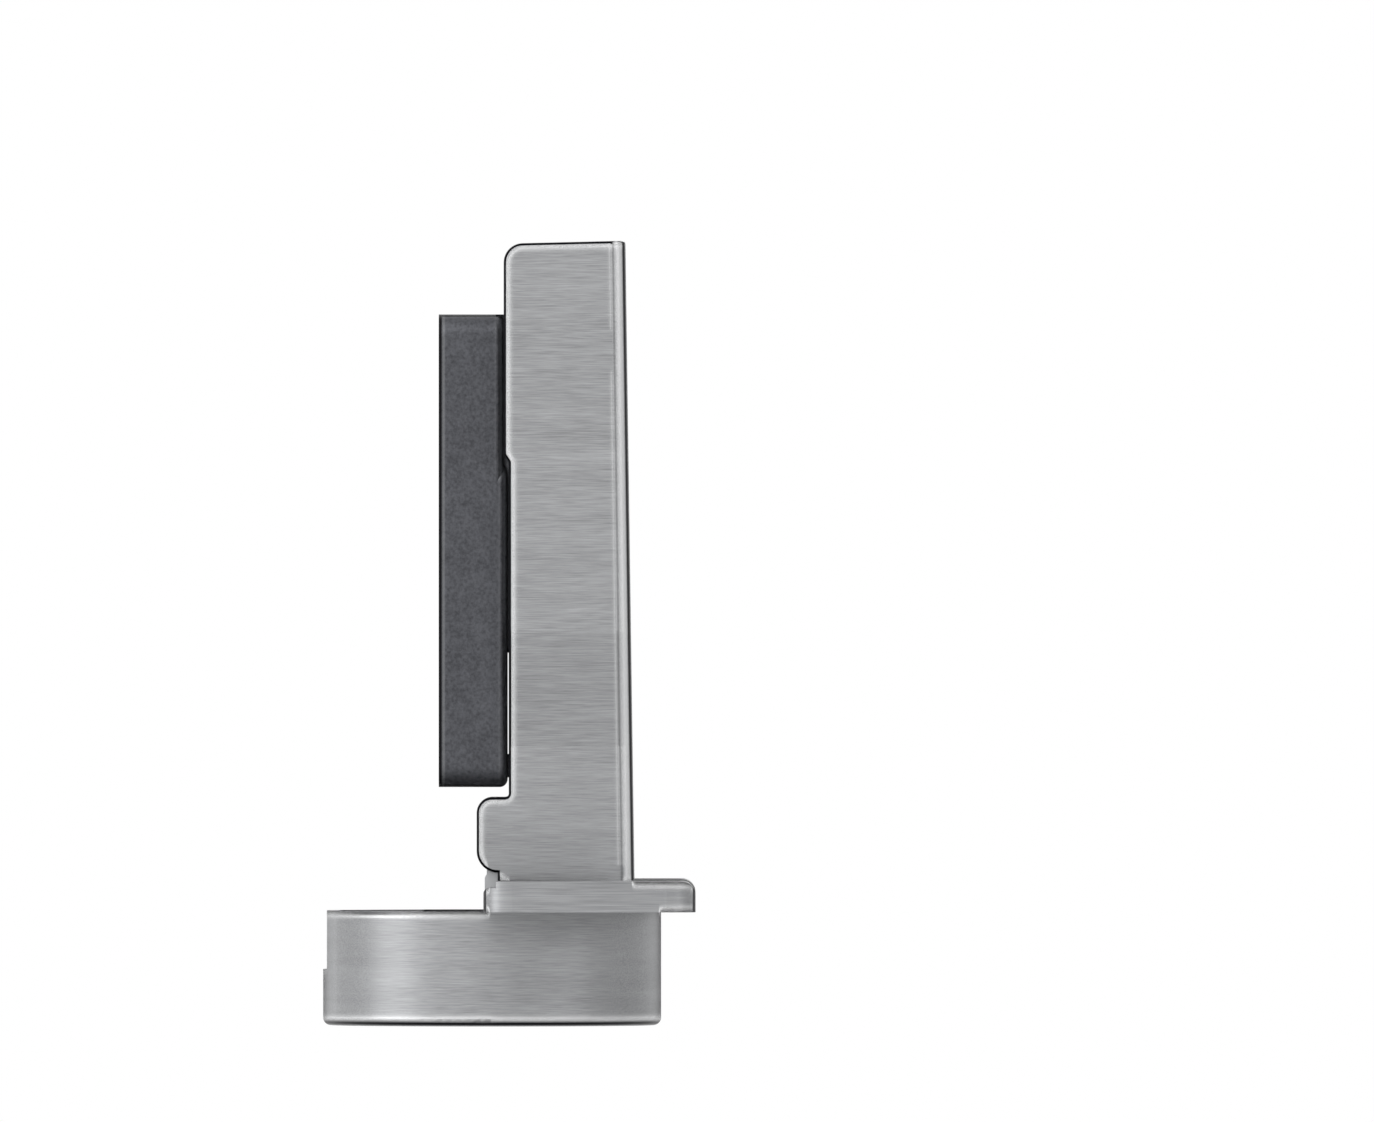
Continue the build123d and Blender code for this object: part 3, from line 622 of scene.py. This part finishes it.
class Finish(Enum):
    """Finishes of the hinge.

    LINK has the name of a plain material of the model, and the links show that one.
    """

    # The brushed steel and cast paint finishes paint a highlight beside their edges and shade on
    # them, and the plated ones a highlight along their edges.
    ARM = BrushedSteel("arm_steel", (0.36, 0.364, 0.372), Rounds.SIDES, edge_shade=0.12)
    CUP = BrushedSteel("cup_zinc", (0.34, 0.344, 0.352), Rounds.FOOT, round_x=5.5 * MM)
    LINK = BrushedSteel("link_steel", (0.36, 0.365, 0.37), contrast=0.2, edge_band=0.8 * MM)
    PLATE = CastPaint("cast_plate_coat", (0.096, 0.098, 0.108))
    SHEET = PlatedSteel("zinc_sheet", (0.4, 0.41, 0.42))
    LEVER = PlatedSteel("lever_sheet", (0.34, 0.35, 0.36))
    PIN = PlatedSteel("drawn_pin", (0.5, 0.51, 0.52), roughness=0.2)
    SCREW = PlatedSteel("nickel_screw", (0.42, 0.42, 0.41), roughness=0.24)
    SPRING = PlatedSteel("spring_wire", (0.16, 0.165, 0.17), roughness=0.32)
    DAMPER = MouldedPlastic("damper_grey", (0.06, 0.063, 0.068), 0.5)
    PLUNGER = MouldedPlastic("plunger_white", (0.62, 0.62, 0.6), 0.3)
    SWITCH = MouldedPlastic("switch_grey", (0.34, 0.35, 0.36), 0.45)

    def made(self) -> bpy.types.Material:
        """The material of the finish's name, built only where the model has none."""
        found = bpy.data.materials.get(self.value.name)
        return found or self.value.material()


def dress(node: str, finish: Finish, plain: tuple[Field, ...] = ()) -> None:
    """Give a node of the model its finish.

    Args:
        node: Name of the node.
        finish: Finish of its whole surface.
        plain: Fields in which its edges show no painted highlight or shade.
    """
    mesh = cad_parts[node].data
    material = replace(finish.value, plain=plain).material() if plain else finish.made()
    mesh.materials.clear()
    mesh.materials.append(material)
    LOG.info("dressed %s with %s", node, finish.value.name)


def dress_all(finishes: dict[str, Finish]) -> None:
    """Give each node its finish."""
    for node, finish in finishes.items():
        dress(node, finish)


def make_object(
    name: str, mesh: bmesh.types.BMesh, material: bpy.types.Material
) -> bpy.types.Object:
    """Turn a built mesh into an object of the scene.

    Args:
        name: Name of the object.
        mesh: Its shape in metres, at its place.
        material: Material of its whole surface.

    Returns:
        The object.
    """
    data = bpy.data.meshes.new(name)
    mesh.to_mesh(data)
    mesh.free()
    data.materials.append(material)
    made = bpy.data.objects.new(name, data)
    bpy.context.scene.collection.objects.link(made)
    return made


def add_piece(name: str, mesh: bmesh.types.BMesh, body: str, finish: Finish) -> None:
    """Turn a built mesh into a piece that rides on a body.

    Args:
        name: Name of the piece.
        mesh: Its shape in metres, at its place on the hinge.
        body: Body that carries it.
        finish: Finish of its surface.
    """
    piece = make_object(name, mesh, finish.made())
    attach(piece, body)
    LOG.info("built %s on %s", name, body)


def flat_patch(node: str, towards: Vector) -> tuple[list[Vector], Vector]:
    """Largest flat face of a node among those that look about one way.

    Args:
        node: Name of the node.
        towards: Unit vector of that way.

    Returns:
        The face's corners and its normal.
    """
    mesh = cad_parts[node].data
    patches: dict[tuple[float, ...], list[bpy.types.MeshPolygon]] = {}
    for face in mesh.polygons:
        if face.normal.dot(towards) > LOOKS_THAT_WAY:
            offset = face.normal.dot(face.center) / MM
            way = (round(part, NORMAL_DIGITS) for part in face.normal)
            patches.setdefault((*way, round(offset, OFFSET_DIGITS)), []).append(face)
    widest = max(patches.values(), key=lambda faces: sum(face.area for face in faces))
    corners = [mesh.vertices[index].co for face in widest for index in face.vertices]
    return corners, widest[0].normal.copy()


def rib(mesh: bmesh.types.BMesh, start: Vector, end: Vector, out: Vector, radius: float) -> None:
    """Add a rounded rib that lies on a face.

    Args:
        mesh: Mesh that takes it.
        start: First end of its foot line.
        end: Second end of its foot line.
        out: Unit vector away from the face.
        radius: Radius of its crown.
    """
    along = (end - start).normalized()
    side = along.cross(out)
    rings = []
    for foot, inward in ((start, along), (end, -along)):
        ring = []
        for step in range(RIB_STEPS + 1):
            angle = math.pi * step / RIB_STEPS
            rise = math.sin(angle)
            offset = side * math.cos(angle) + out * rise + inward * RIB_END_LEAN * rise
            ring.append(mesh.verts.new(foot + offset * radius))
        rings.append(ring)
    first, second = rings
    for step in range(RIB_STEPS):
        mesh.faces.new((first[step], second[step], second[step + 1], first[step + 1]))
    mesh.faces.new(first)
    mesh.faces.new(reversed(second))
    mesh.faces.new((first[0], first[-1], second[-1], second[0]))


@dataclass
class PlateSet:
    """Mounting plate, clip carrier and release lever."""

    ribs: int = 3
    rib_radius: float = 0.22 * MM
    rib_inset: float = 0.7 * MM
    finishes: dict[str, Finish] = field(default_factory=lambda: {
        "mounting_plate": Finish.PLATE,
        "clip_carrier": Finish.SHEET,
        "lever_pin": Finish.PIN,
        "release_lever": Finish.LEVER,
        "lever_spring": Finish.SPRING,
    })

    def build(self) -> None:
        """Dress the nodes and build the grip on the release lever."""
        dress_all(self.finishes)
        self.lever_grip()

    def lever_grip(self) -> None:
        """Build the ribs that a fingertip presses on the lever's tab."""
        corners, out = flat_patch("release_lever", Vector((1, 0, 0)))
        root = min(corners, key=lambda corner: corner.z)
        tip = max(corners, key=lambda corner: corner.z)
        half = max(corner.y for corner in corners) - self.rib_inset
        mesh = bmesh.new()
        for step in range(1, self.ribs + 1):
            middle = root.lerp(tip, step / (self.ribs + 1))
            start = Vector((middle.x, -half, middle.z))
            end = Vector((middle.x, half, middle.z))
            rib(mesh, start, end, out, self.rib_radius)
        add_piece("lever_grip", mesh, "lever", Finish.LEVER)


@dataclass
class SettingSet:
    """Depth slider, its cam and the side screw."""

    teeth: int = 20
    tooth_radius: float = 0.17 * MM
    tooth_root: float = 0.02 * MM
    head_radius: float = 2.4 * MM
    head_height: float = 1.1 * MM
    finishes: dict[str, Finish] = field(default_factory=lambda: {
        "depth_slider": Finish.SHEET,
        "depth_cam": Finish.SCREW,
        "side_screw": Finish.SCREW,
    })

    def build(self) -> None:
        """Dress the nodes and build the serration of the cam's head."""
        dress_all(self.finishes)
        self.cam_teeth()

    def cam_teeth(self) -> None:
        """Build the teeth round the cam's head, whose collar shows where its axis is."""
        low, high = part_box("depth_cam")
        collar = (high.z - low.z) / 2
        back = high.x - self.head_height + self.tooth_radius
        foot = Vector((back, low.y + collar, low.z + collar))
        run = Vector((self.head_height - 2 * self.tooth_radius, 0, 0))
        mesh = bmesh.new()
        for tooth in range(self.teeth):
            angle = math.tau * tooth / self.teeth
            out = Vector((0, math.cos(angle), math.sin(angle)))
            start = foot + out * (self.head_radius - self.tooth_root)
            rib(mesh, start, start + run, out, self.tooth_radius)
        add_piece("cam_teeth", mesh, "cam", Finish.SCREW)


@dataclass
class ArmSet:
    """Hinge arm and the pins riveted flush in it."""

    pins: tuple[str, ...] = ("tilt_pin", "front_arm_pin", "rear_arm_pin")
    margin: float = 1.0 * MM
    foot_run: float = 3.2 * MM
    foot_rise: float = 1.8 * MM

    def build(self) -> None:
        """Dress the arm and its pins alike, without painted highlight or shade on the edges of
        its foot and round the pins.
        """
        low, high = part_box("hinge_arm")
        foot = Field(
            (low.x + self.foot_run, high.x - self.margin),
            (low.z - self.margin, low.z + self.foot_rise),
        )
        fields = (foot, *(self.near(pin) for pin in self.pins))
        for node in ("hinge_arm", *self.pins):
            dress(node, Finish.ARM, fields)

    def near(self, pin: str) -> Field:
        """Field round the end of a pin.

        Args:
            pin: Name of the pin's node.

        Returns:
            The field.
        """
        low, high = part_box(pin)
        margin = self.margin
        return Field((low.x - margin, high.x + margin), (low.z - margin, high.z + margin))


@dataclass
class LinkSet:
    """The two folding links."""

    finishes: dict[str, Finish] = field(default_factory=lambda: {
        "outer_link": Finish.LINK,
        "inner_link": Finish.LINK,
    })

    def build(self) -> None:
        """Dress the nodes."""
        dress_all(self.finishes)


@dataclass
class CupSet:
    """Cup with its pins, closing spring and soft-close damper."""

    diameter: float = 35 * MM
    wing_thickness: float = 3.16 * MM
    behind_arm: float = 1.2 * MM
    ribs: int = 3
    rib_radius: float = 0.16 * MM
    rib_pitch: float = 0.75 * MM
    rib_inset: float = 0.5 * MM
    finishes: dict[str, Finish] = field(default_factory=lambda: {
        "outer_cup_pin": Finish.PIN,
        "inner_cup_pin": Finish.PIN,
        "closing_spring": Finish.SPRING,
        "damper_housing": Finish.DAMPER,
        "damper_plunger": Finish.PLUNGER,
        "plunger_spring": Finish.SPRING,
        "damper_switch": Finish.SWITCH,
    })

    def build(self) -> None:
        """Dress the nodes and build the grip on the damper's switch."""
        dress("hinge_cup", Finish.CUP, self.wing_fields())
        dress_all(self.finishes)
        self.switch_grip()

    def wing_fields(self) -> tuple[Field, Field]:
        """Fields of the wings that show no painted highlight or shade on their edges.

        Returns:
            The fields above and below their middle.
        """
        arm_low, arm_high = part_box("hinge_arm")
        cup_low, cup_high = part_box("hinge_cup")
        door = cup_high.z - self.wing_thickness
        middle = (door + cup_high.z) / 2
        start = arm_low.x + self.behind_arm
        upper = Field((start, arm_high.x), (middle, cup_high.z + self.behind_arm))
        lower = Field((start, cup_low.x + self.diameter), (door - self.behind_arm, middle))
        return upper, lower

    def switch_grip(self) -> None:
        """Build the ribs that a fingertip pushes."""
        low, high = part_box("damper_switch")
        first = (low.y + high.y) / 2 - self.rib_pitch * (self.ribs - 1) / 2
        mesh = bmesh.new()
        for step in range(self.ribs):
            y = first + step * self.rib_pitch
            start = Vector((low.x + self.rib_inset, y, high.z))
            end = Vector((high.x - self.rib_inset, y, high.z))
            rib(mesh, start, end, Vector((0, 0, 1)), self.rib_radius)
        add_piece("switch_grip", mesh, "switch", Finish.SWITCH)


@dataclass(frozen=True)
class Lamp:
    """Soft square lamp that looks at the hinge."""

    name: str
    place: Place
    watts: float
    width: float = 0.5

    def hang(self) -> None:
        """Add the lamp to the scene."""
        data = bpy.data.lights.new(self.name, "AREA")
        data.size = self.width
        data.energy = self.watts
        lamp = bpy.data.objects.new(self.name, data)
        bpy.context.scene.collection.objects.link(lamp)
        lamp.location = self.place
        lamp.rotation_euler = (-Vector(self.place)).to_track_quat("-Z", "Y").to_euler()


@dataclass
class Studio:
    """Camera, soft lights and a pale floor that lies below the swing of the open cup."""

    lens: float = 1300.0
    view_reach: float = 20.0
    frame_width: float = 142.28 * MM
    centre: Place = (25.68 * MM, 0.0, -2.01 * MM)
    floor_span: float = 1.4
    floor_tone: Colour = (0.94, 0.94, 0.94)
    floor_roughness: float = 0.9
    floor_glow: float = 0.6
    swing_room: float = 40 * MM
    shadow_reach: Ends = (0.13, 0.26)
    ambient: float = 0.55
    dim_from: Ends = (-0.1, 1.0)
    dim_side: float = 0.62
    bright_from: Ends = (0.6, 0.75)
    bright_card: float = 1.3
    dark_from: Ends = (0.84, 0.92)
    dark_card: float = 0.06
    lamps: tuple[Lamp, ...] = (
        Lamp("key", (-0.5, -0.75, 0.65), 4.2),
        Lamp("left", (-0.8, -0.3, 0.1), 1.1),
        Lamp("fill", (0.75, -0.6, 0.3), 0.8),
        Lamp("back", (0.3, 0.8, 0.7), 1.7),
    )

    def build(self) -> None:
        """Set the stage."""
        bpy.context.scene.view_settings.view_transform = "Standard"
        self.camera()
        self.floor()
        self.sky()
        for lamp in self.lamps:
            lamp.hang()

    def camera(self) -> None:
        """Place the camera square to the hinge's side."""
        data = bpy.data.cameras.new("camera")
        data.lens = self.lens
        data.clip_end = self.view_reach
        camera = bpy.data.objects.new("camera", data)
        bpy.context.scene.collection.objects.link(camera)
        distance = self.frame_width * self.lens / data.sensor_width
        camera.location = Vector(self.centre) - Vector((0, distance, 0))
        camera.rotation_euler = (math.radians(90), 0, 0)
        bpy.context.scene.camera = camera

    def floor(self) -> None:
        """Lay a pale floor under the hinge, clear from below."""
        half = self.floor_span / 2
        level = CAD_BOX[0].z - self.swing_room
        mesh = bmesh.new()
        corners = [(-half, -half), (half, -half), (half, half), (-half, half)]
        mesh.faces.new([mesh.verts.new((x, y, level)) for x, y in corners])
        floor = make_object("floor", mesh, self.paper())

    def paper(self) -> bpy.types.Material:
        """Paper of the floor, which turns white to the eye away from the hinge.

        Returns:
            The material.
        """
        graph = MaterialGraph("floor_paper")
        base = {"Base Color": (*self.floor_tone, 1.0), "Roughness": self.floor_roughness}
        surface = graph.add("BsdfPrincipled", base)
        glow = graph.add("Emission", {"Color": (*WHITE, 1.0), "Strength": 1.0})
        seen = graph.add("LightPath").outputs["Is Camera Ray"]
        distance = graph.add("VectorMath", {0: graph.follow(Tex.PLACE)}, operation="LENGTH")
        far = graph.span(distance.outputs["Value"], self.shadow_reach, (self.floor_glow, 1.0))
        share = graph.times(seen, far)
        above = graph.add("MixShader", {0: share, 1: surface.outputs[0], 2: glow.outputs[0]})
        below = graph.add("NewGeometry").outputs["Backfacing"]
        clear = graph.add("BsdfTransparent")
        both = graph.add("MixShader", {0: below, 1: above.outputs[0], 2: clear.outputs[0]})
        graph.close("Material", both)
        return graph.material

    def sky(self) -> None:
        """Make the surroundings white to the eye and to metal, and softer as light.

        Metal sees them dimmer on the right, and behind the hinge a nearly black card between two
        cards brighter than the rest.
        """
        world = bpy.data.worlds.new("studio")
        world.use_nodes = True
        bpy.context.scene.world = world
        graph = Graph(world.node_tree)
        path = graph.add("LightPath").outputs
        seen = path["Is Camera Ray"]
        shown = graph.most(seen, path["Is Glossy Ray"], path["Is Transmission Ray"])
        x, y, _ = graph.parts(Tex.WAY)
        lit = graph.span(x, self.dim_from, (1.0, self.dim_side))
        lit = graph.times(lit, graph.span(y, self.bright_from, (1.0, self.bright_card)))
        lit = graph.times(lit, graph.span(y, self.dark_from, (1.0, self.dark_card)))
        white = graph.add("Mix", {0: seen, 2: lit, 3: 1.0}).outputs[0]
        level = graph.span(shown, RISE, (self.ambient, white))
        background = graph.add("Background", {"Strength": level, "Color": (*WHITE, 1.0)})
        graph.close("World", background)


def main() -> None:
    """Build the studio and each set of the hinge in order."""
    logging.basicConfig(level=logging.INFO, format="%(name)s: %(message)s")
    Studio().build()
    for group in (PlateSet(), SettingSet(), ArmSet(), LinkSet(), CupSet()):
        group.build()
        LOG.info("%s done", type(group).__name__)


if __name__ == "__main__":
    main()
